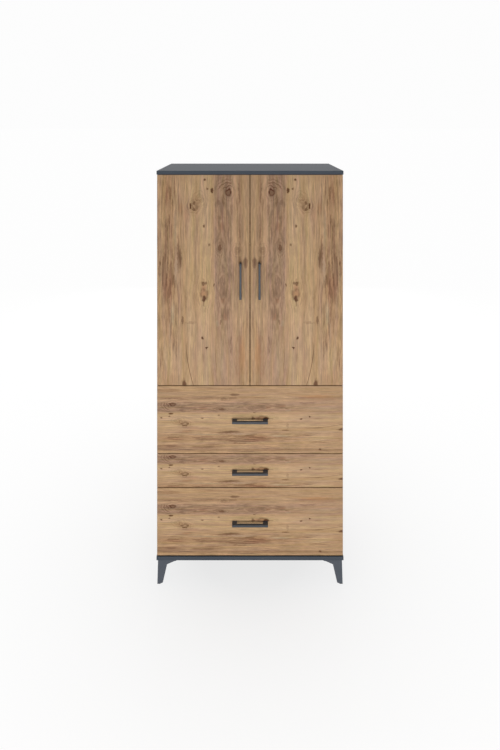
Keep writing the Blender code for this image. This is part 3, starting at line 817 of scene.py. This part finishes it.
def wear(piece, material, slot, body, *replaced):
    """Gives a finished piece its material and its body, and hides the nodes that it stands for."""
    piece.data.materials.clear()
    piece.data.materials.append(material)
    if replaced:
        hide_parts(*replaced)
    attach(piece, body)


# Bar handles
HANDLE_BAR = 0.0125
HANDLE_POST = 0.023
HANDLE_ROUNDING = 0.0007


def drawer_handle():
    """The middle drawer's handle: a bar whose two ends are drawn back to the front as square posts."""
    low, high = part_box("middle_drawer_handle")
    bar_back = low.y + HANDLE_BAR
    piece = block("middle_bar_handle", low, (high.x, bar_back, high.z))
    for end in (low.x + HANDLE_POST, high.x - HANDLE_POST):
        choose(piece, "FACE")
        bpy.ops.mesh.bisect(plane_co=(end, 0, 0), plane_no=(1, 0, 0))
    post_from = high.x - HANDLE_POST
    choose(piece, "FACE", lambda face: face.normal.y > 0.9 and abs(middle_of(face).x) > post_from)
    pull((0, high.y - bar_back, 0))
    bevel_sharp(piece, HANDLE_ROUNDING, 3)
    smooth(piece)
    return piece


def handles(material):
    """The five handles, from one. The doors' handles are turned upright."""
    first = drawer_handle()
    first_middle = middle("middle_drawer_handle")
    for word in ("upper", "lower", "left", "right"):
        on_door = word in ("left", "right")
        node = f"{word}_door_handle" if on_door else f"{word}_drawer_handle"
        body = f"{word}_door_leaf" if on_door else f"{word}_drawer_box"
        copy = copy_of(first, f"{word}_bar_handle")
        if on_door:
            bpy.ops.transform.rotate(value=math.radians(90), orient_axis="Y", center_override=first_middle)
        bpy.ops.transform.translate(value=middle(node) - first_middle)
        settle(copy)
        wear(copy, material, "anthracite_powder_coat", body, node)
    wear(first, material, "anthracite_powder_coat", "middle_drawer_box", "middle_drawer_handle")


# Legs of folded sheet, with a welded plate on top and a glide in the foot
LEG_SHEET = 0.003
LEG_INSET = 0.006
LEG_SPLAY = 0.003
LEG_FOLD = 0.004
LEG_BRACE_LENGTH = 0.098
LEG_BRACE_TIP = 0.002
LEG_KNEE = (0.044, 0.025)
LEG_SOLE = 0.002
LEG_TOE = (0.0235, 0.003)
LEG_TOE_CUT = 0.0045
LEG_LIP = 0.0065
LEG_LIP_FOLD = 0.0034
LEG_LIP_END = 0.080
LEG_PLATE = 0.072
LEG_EDGE = 0.0004
GLIDE_REACH = 0.0155
GLIDE_PAD = 0.0018
GLIDE_HEIGHT = 0.009

leg_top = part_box("front_left_leg")[1].z
leg_corner = Vector((-(outer_side - LEG_INSET), front_face + LEG_INSET, 0))


def flange_of(part):
    """0 for the front's flange and 1 for the side's, and how far in from the corner a part is."""
    place = middle_of(part) - leg_corner
    return (0, place.x) if place.x > place.y else (1, place.y)


def cut_corner_off(piece, through):
    """Cuts a block across its corner, along the diagonal through a point."""
    choose(piece, "FACE")
    diagonal = Vector((1, 1, 0)).normalized()
    bpy.ops.mesh.bisect(plane_co=through, plane_no=diagonal, use_fill=True, clear_outer=True)


def cut_flange(piece, flange, start, end):
    """Cuts one flange along a line between two spots, each across from the corner and up."""
    across, up = end[0] - start[0], end[1] - start[1]
    through = (leg_corner.x + start[0], leg_corner.y + start[0], start[1])
    normal = Vector(((-up, 0, across), (0, -up, across))[flange]).normalized()
    choose(piece, "FACE", lambda face: flange_of(face)[0] == flange)
    bpy.ops.mesh.bisect(plane_co=through, plane_no=normal)


def height_on(line, inward):
    """How high a line between two spots is at a distance from the corner."""
    (start, start_up), (end, end_up) = line
    return start_up + (inward - start) * (end_up - start_up) / (end - start)


def leg_sheet():
    """The front left leg: a blank folded at the corner, cut to shape, with its inner edges turned in."""
    clear()
    bpy.ops.mesh.primitive_plane_add(size=1)
    piece = bpy.context.object
    piece.name = "front_left_leg_sheet"
    height = leg_top - LEG_SOLE / 2
    bpy.ops.transform.resize(value=(LEG_BRACE_LENGTH, height, 1))
    piece.rotation_euler = (math.radians(90), 0, 0)
    piece.location = leg_corner + Vector((LEG_BRACE_LENGTH / 2, 0, leg_top - height / 2))
    settle(piece)

    # The side's flange, and the lean of the foot
    choose(piece, "EDGE", lambda edge: middle_of(edge).x < leg_corner.x + LEG_EDGE)
    pull((0, LEG_BRACE_LENGTH, 0))
    choose(piece, "VERT", lambda point: point.co.z < leg_top / 2)
    bpy.ops.transform.translate(value=(-LEG_SPLAY, -LEG_SPLAY, 0))

    knee = (LEG_KNEE[0], leg_top - LEG_KNEE[1])
    tip = (LEG_BRACE_LENGTH, leg_top - LEG_BRACE_TIP)
    sole = ((-LEG_SPLAY, LEG_SOLE), LEG_TOE)
    shin = (LEG_TOE, knee)
    brace = (knee, tip)
    for flange in (0, 1):
        for line in (sole, shin, brace):
            cut_flange(piece, flange, *line)

    def waste(face):
        inward, level = flange_of(face)[1], middle_of(face).z
        beyond = level < height_on(shin, inward) and level < height_on(brace, inward)
        return beyond or level < height_on(sole, inward)

    choose(piece, "FACE", waste)
    bpy.ops.mesh.delete(type="FACE")
    choose(piece, "FACE")
    bpy.ops.mesh.dissolve_limited(angle_limit=math.radians(1))

    def at_toe(point):
        inward = max(point.co.x - leg_corner.x, point.co.y - leg_corner.y)
        return point.co.z < LEG_TOE[1] * 2 and inward > LEG_TOE[0] / 2

    choose(piece, "VERT", at_toe)
    bpy.ops.mesh.bevel(offset=LEG_TOE_CUT, segments=4, affect="VERTICES")

    # Edges turned in, along the toe, the inner edge and the brace of each flange
    for flange in (0, 1):
        cut_flange(piece, flange, (LEG_LIP_END, 0), (LEG_LIP_END, leg_top))

    def inner_edge(edge, flange):
        own, inward = flange_of(edge)
        within = LEG_TOE[0] - LEG_TOE_CUT < inward < LEG_LIP_END
        below = middle_of(edge).z < leg_top - LEG_BRACE_TIP
        return len(edge.link_faces) == 1 and own == flange and within and below

    for flange, back in ((0, (0, LEG_LIP, 0)), (1, (LEG_LIP, 0, 0))):
        choose(piece, "EDGE", lambda edge: inner_edge(edge, flange))
        pull(back)

    def at_corner(edge):
        return len(edge.link_faces) == 2 and flange_of(edge)[1] < LEG_EDGE

    def at_lip(edge):
        folded = len(edge.link_faces) == 2 and edge.calc_face_angle() > math.radians(60)
        return folded and flange_of(edge)[1] > LEG_TOE[0] / 2

    choose(piece, "EDGE", at_corner)
    bpy.ops.mesh.bevel(offset=LEG_FOLD, segments=5, affect="EDGES")
    choose(piece, "EDGE", at_lip)
    bpy.ops.mesh.bevel(offset=LEG_LIP_FOLD, segments=4, affect="EDGES", clamp_overlap=False)
    choose(piece, "FACE")
    bpy.ops.mesh.remove_doubles(threshold=LEG_EDGE / 10)
    alone(piece)
    bpy.ops.object.modifier_add(type="SOLIDIFY")
    sheet = piece.modifiers[-1]
    sheet.thickness = LEG_SHEET
    sheet.offset = -1
    sheet.use_even_offset = True
    bpy.ops.object.modifier_apply(modifier=sheet.name)
    bevel_sharp(piece, LEG_EDGE, 1, angle=60)
    smooth(piece)
    return piece


def leg_plate():
    """The welded plate on top of the leg: a square cut off across its corner."""
    start = leg_corner + Vector((LEG_SHEET, LEG_SHEET, leg_top - LEG_SHEET))
    piece = block("front_left_leg_plate", start, start + Vector((LEG_PLATE, LEG_PLATE, LEG_SHEET)))
    cut_corner_off(piece, start + Vector((LEG_PLATE, 0, 0)))
    bevel_sharp(piece, LEG_EDGE, 1)
    return piece


def leg_glide():
    """The plastic glide: a three-cornered pad under the sheet, with a stem that fits in the fold."""
    start = leg_corner - Vector((LEG_SPLAY - LEG_EDGE, LEG_SPLAY - LEG_EDGE, 0))
    end = start + Vector((GLIDE_REACH, GLIDE_REACH, GLIDE_PAD))
    piece = block("front_left_glide", start, end)
    cut_corner_off(piece, start + Vector((GLIDE_REACH + LEG_SHEET, 0, 0)))
    choose(piece, "FACE", lambda face: face.normal.z > 0.9)
    bpy.ops.mesh.inset(thickness=LEG_SHEET)
    pull((0, 0, GLIDE_HEIGHT - GLIDE_PAD))
    bevel_sharp(piece, LEG_EDGE, 2)
    smooth(piece)
    return piece


def legs(metal, plastic):
    """The four legs, from one, mirrored to each corner."""
    sheet, plate, glide = leg_sheet(), leg_plate(), leg_glide()
    alone(sheet)
    plate.select_set(True)
    bpy.ops.object.join()
    middle_depth = (leg_corner.y + back_face - LEG_INSET) / 2
    for end, forward in (("rear", -1), ("front", 1)):
        for side, outward in (("right", -1), ("left", 1)):
            node = f"{end}_{side}_leg"
            for master, word, material, slot in (
                (sheet, "sheet", metal, "anthracite_powder_coat"),
                (glide, "glide", plastic, None),
            ):
                name = f"{node}_{word}"
                piece = master if node == "front_left_leg" else copy_of(master, name)
                piece.name = name
                alone(piece)
                bpy.ops.transform.resize(value=(outward, forward, 1), center_override=(0, middle_depth, 0))
                settle(piece)
                if outward != forward:
                    choose(piece, "FACE")
                    bpy.ops.mesh.normals_make_consistent(inside=False)
                    bpy.ops.object.mode_set(mode="OBJECT")
                wear(piece, material, slot, "cupboard", node)


set_material(coated("dark_laminate", DARK_BOARD_TONES, *LAMINATE), "top_board", "base_board")
handles(coated("handle_coat", HANDLE_TONES, *POWDER))
legs(coated("leg_coat", LEG_TONES, *POWDER), black_plastic())


# Screws, cams and nails
FINE_GAP = 0.00003
HEAD_ROUNDING = 0.6
CROSS_REACH = 0.56
CROSS_WIDTH = 0.13
CROSS_DEPTH = 0.75

# Their heads: corners, radius and how far each stands proud
HEADS = {
    "fixing_screw": (20, 0.0032, 0.0014),
    "rail_screw": (20, 0.0034, 0.0010),
    "handle_screw": (20, 0.0038, 0.0018),
    "adjuster_screw": (20, 0.0027, 0.0007),
    "cam_disc": (28, 0.0075, 0.0003),
    "nail": (10, 0.0017, 0.0002),
}

# Where they sit
WING_SCREW_OFF = 0.0238
PLATE_SCREW_OFF = 0.018
PLATE_MIDDLE = 0.162
PLATE_THICK = 0.0028
ADJUSTERS_BEHIND = (0.148, 0.168)
HANDLE_SCREW_OFF = 0.074
CABINET_RAIL_SCREWS = (0.020, 0.205, 0.380)
DRAWER_RAIL_SCREWS = (0.040, 0.360)
RAIL_SHEET = 0.0012
LEG_SCREWS = ((0.2, 0.2), (0.62, 0.18), (0.18, 0.62))
CAM_OFF = 0.034
CAM_BEHIND = (0.175, 0.160)
NAIL_EDGE = 0.009
NAIL_PITCH = 0.15


def head(name, corners, radius, rise):
    """A head that faces up, with rounded rim and, but for the nail's, crossed slots."""
    above = (0, 0, rise / 2 + FINE_GAP)
    bpy.ops.mesh.primitive_cylinder_add(vertices=corners, radius=radius, depth=rise, location=above)
    piece = bpy.context.object
    piece.name = name
    settle(piece)
    top = max(point.co.z for point in piece.data.vertices)
    choose(piece, "EDGE", lambda edge: all(point.co.z > top - rise / 4 for point in edge.verts))
    bpy.ops.mesh.bevel(offset=rise * HEAD_ROUNDING, segments=3, affect="EDGES")
    if name != "nail":
        reach, half, low = radius * CROSS_REACH, radius * CROSS_WIDTH, top - rise * CROSS_DEPTH
        for slot_reach, slot_half in ((reach, half), (half, reach)):
            cutter = block("slot", (-slot_reach, -slot_half, low), (slot_reach, slot_half, top + rise))
            alone(piece)
            bpy.ops.object.modifier_add(type="BOOLEAN")
            cut = piece.modifiers[-1]
            cut.operation = "DIFFERENCE"
            cut.solver = "EXACT"
            cut.object = cutter
            bpy.ops.object.modifier_apply(modifier=cut.name)
            alone(cutter)
            bpy.ops.object.delete()
    smooth(piece, 40)
    return piece


def fix(name, kind, places, body):
    """Copies a head to its places, each a point and the way it faces, and joins the copies."""
    copies = []
    for at, facing in places:
        copies.append(copy_of(heads[kind], name))
        copies[-1].location = at
        copies[-1].rotation_euler = Vector(facing).to_track_quat("Z", "Y").to_euler()
    settle(copies[0])
    for piece in copies:
        piece.select_set(True)
    bpy.ops.object.join()
    joined = bpy.context.object
    joined.name = name
    wear(joined, nickel, "nickel_plated_steel", body)


def hinge_screws():
    for side, hand in SIDES:
        wings, plates, adjusters = [], [], []
        for level in ("low", "middle", "high"):
            cup, arm = f"{side}_{level}_hinge_cup", f"{side}_{level}_hinge_arm"
            height = middle(cup).z
            arm_face = min(abs(corner.x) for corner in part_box(arm))
            for off in (-1, 1):
                wings.append(((middle(cup).x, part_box(cup)[1].y, height + off * WING_SCREW_OFF), (0, 1, 0)))
                plate = (hand * (side_face - PLATE_THICK), -PLATE_MIDDLE, height + off * PLATE_SCREW_OFF)
                plates.append((plate, (-hand, 0, 0)))
            for behind in ADJUSTERS_BEHIND:
                adjusters.append(((hand * arm_face, -behind, height), (-hand, 0, 0)))
        fix(f"{side}_cup_screws", "fixing_screw", wings, f"{side}_door_leaf")
        fix(f"{side}_plate_screws", "fixing_screw", plates, "cupboard")
        fix(f"{side}_hinge_adjusters", "adjuster_screw", adjusters, "cupboard")


def handle_screws():
    for side, _ in SIDES:
        x, _, z = middle(f"{side}_door_handle")
        places = [((x, front_back, z + off * HANDLE_SCREW_OFF), (0, 1, 0)) for off in (-1, 1)]
        fix(f"{side}_door_handle_screws", "handle_screw", places, f"{side}_door_leaf")
    for word in DRAWERS:
        z = middle(f"{word}_drawer_handle").z
        places = [((off * HANDLE_SCREW_OFF, front_back, z), (0, 1, 0)) for off in (-1, 1)]
        fix(f"{word}_drawer_handle_screws", "handle_screw", places, f"{word}_drawer_box")


def rail_screws():
    on_cabinet = []
    for word in DRAWERS:
        on_drawer = []
        for side, hand in SIDES:
            fixed, moving = f"{word}_cabinet_rail_{side}", f"{word}_drawer_rail_{side}"
            start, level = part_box(fixed)[0].y, middle(fixed).z
            web = max(abs(corner.x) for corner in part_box(fixed)) - RAIL_SHEET
            for run in CABINET_RAIL_SCREWS:
                on_cabinet.append(((hand * web, start + run, level), (-hand, 0, 0)))
            web = min(abs(corner.x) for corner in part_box(moving)) + RAIL_SHEET
            for run in DRAWER_RAIL_SCREWS:
                on_drawer.append(((hand * web, start + run, level), (hand, 0, 0)))
        fix(f"{word}_drawer_rail_screws", "rail_screw", on_drawer, f"{word}_drawer_box")
    fix("cabinet_rail_screws", "rail_screw", on_cabinet, "cupboard")


def leg_screws():
    places = []
    for end, toward in (("front", 1), ("rear", -1)):
        for side, hand in SIDES:
            low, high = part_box(f"{end}_{side}_leg")
            corner_x = max(abs(low.x), abs(high.x)) - LEG_SHEET - LEG_SPLAY
            corner_y = max(abs(low.y), abs(high.y)) - LEG_SHEET - LEG_SPLAY
            for share_x, share_y in LEG_SCREWS:
                x = hand * (corner_x - share_x * LEG_PLATE)
                y = -toward * (corner_y - share_y * LEG_PLATE)
                places.append(((x, y, leg_top - LEG_SHEET), (0, 0, -1)))
    fix("leg_screws", "fixing_screw", places, "cupboard")


def cams():
    """Cam discs in the sides' inner faces by the top and base boards, and under the fixed shelf's ends."""
    places = []
    shelf_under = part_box("fixed_shelf")[0].z
    for hand in (-1, 1):
        for y in (-CAM_BEHIND[0], CAM_BEHIND[1]):
            for z in (side_top - CAM_OFF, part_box("right_side")[0].z + CAM_OFF):
                places.append(((hand * side_face, y, z), (-hand, 0, 0)))
            places.append(((hand * (side_face - CAM_OFF), y, shelf_under), (0, 0, -1)))
    fix("cam_discs", "cam_disc", places, "cupboard")


def back_nails():
    """A row of nails round the edge of each back panel."""
    places = []
    for name in ("lower_back", "upper_back"):
        low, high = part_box(name)
        x, bottom, top = high.x - NAIL_EDGE, low.z + NAIL_EDGE, high.z - NAIL_EDGE
        upright = max(2, round((top - bottom) / NAIL_PITCH))
        level = round(2 * x / NAIL_PITCH)
        rows = [bottom + (top - bottom) * n / upright for n in range(upright + 1)]
        around = [(side * x, row) for side in (-1, 1) for row in rows]
        around += [(-x + 2 * x * n / level, end) for end in (bottom, top) for n in range(1, level)]
        places += [((x_at, high.y, z_at), (0, 1, 0)) for x_at, z_at in around]
    fix("back_nails", "nail", places, "cupboard")


def seen_directly(g):
    """One for the rays that carry the picture, none for the rays that carry light."""
    rays = g.add("LightPath").outputs
    through = g.math("MAXIMUM", rays["Is Glossy Ray"], rays["Is Transmission Ray"])
    return g.math("MAXIMUM", rays["Is Camera Ray"], through)


def floor_material():
    """Pale floor, with a soft shadow painted into its glow round the cupboard. It lights the cupboard as
    plain paint.
    """
    material, g, shader = new_material("pale_floor", 0)
    shader.inputs["Base Color"].default_value = FLOOR_PAINT
    shader.inputs["Roughness"].default_value = 0.9
    # The glow dims closer to the cupboard: a painted shadow
    away = g.minus(g.vector("LENGTH", g.coordinates()), FLOOR_PAINTED_SHADOW_CORE)
    painted_shadow = g.math("EXPONENT", g.math("DIVIDE", g.math("MAXIMUM", away, 0), -FLOOR_PAINTED_SHADOW_FADE))
    glow = g.add("Emission", (1, 1, 1, 1), g.math("MULTIPLY_ADD", painted_shadow, -FLOOR_PAINTED_SHADOW_DEPTH, FLOOR_GLOW))
    share = g.times(seen_directly(g), FLOOR_GLOW_SHARE)
    blend = g.add("MixShader", share, shader.outputs[0], glow.outputs[0])
    g.fill(g.tree.nodes["Material Output"].inputs["Surface"], blend.outputs[0])
    return material


heads = {name: head(name, *size) for name, size in HEADS.items()}
hinge_screws()
handle_screws()
rail_screws()
leg_screws()
cams()
back_nails()
for master in heads.values():
    alone(master)
    bpy.ops.object.delete()

clear()
bpy.ops.mesh.primitive_plane_add(size=FLOOR_SIZE)
floor = bpy.context.object
floor.name = "floor"
floor.data.materials.append(floor_material())

world = bpy.data.worlds.new("studio")
scene.world = world
world.use_nodes = True
g = Graph(world.node_tree)
background = g.tree.nodes["Background"]
g.fill(background.inputs["Color"], (1, 1, 1, 1))
strength = g.math("MULTIPLY_ADD", seen_directly(g), BACKDROP - WORLD_LIGHT, WORLD_LIGHT)
g.fill(background.inputs["Strength"], strength)


def soft_lamp(name, at, target, width, height, watts):
    """A broad lamp that the camera doesn't see."""
    data = bpy.data.lights.new(name, "AREA")
    data.shape = "RECTANGLE"
    data.size = width
    data.size_y = height
    data.energy = watts
    lamp = bpy.data.objects.new(name, data)
    lamp.location = at
    lamp.rotation_euler = (Vector(target) - Vector(at)).to_track_quat("-Z", "Y").to_euler()
    lamp.visible_camera = False
    scene.collection.objects.link(lamp)


soft_lamp("front_lamp", *FRONT_LAMP)
soft_lamp("back_lamp", *BACK_LAMP)
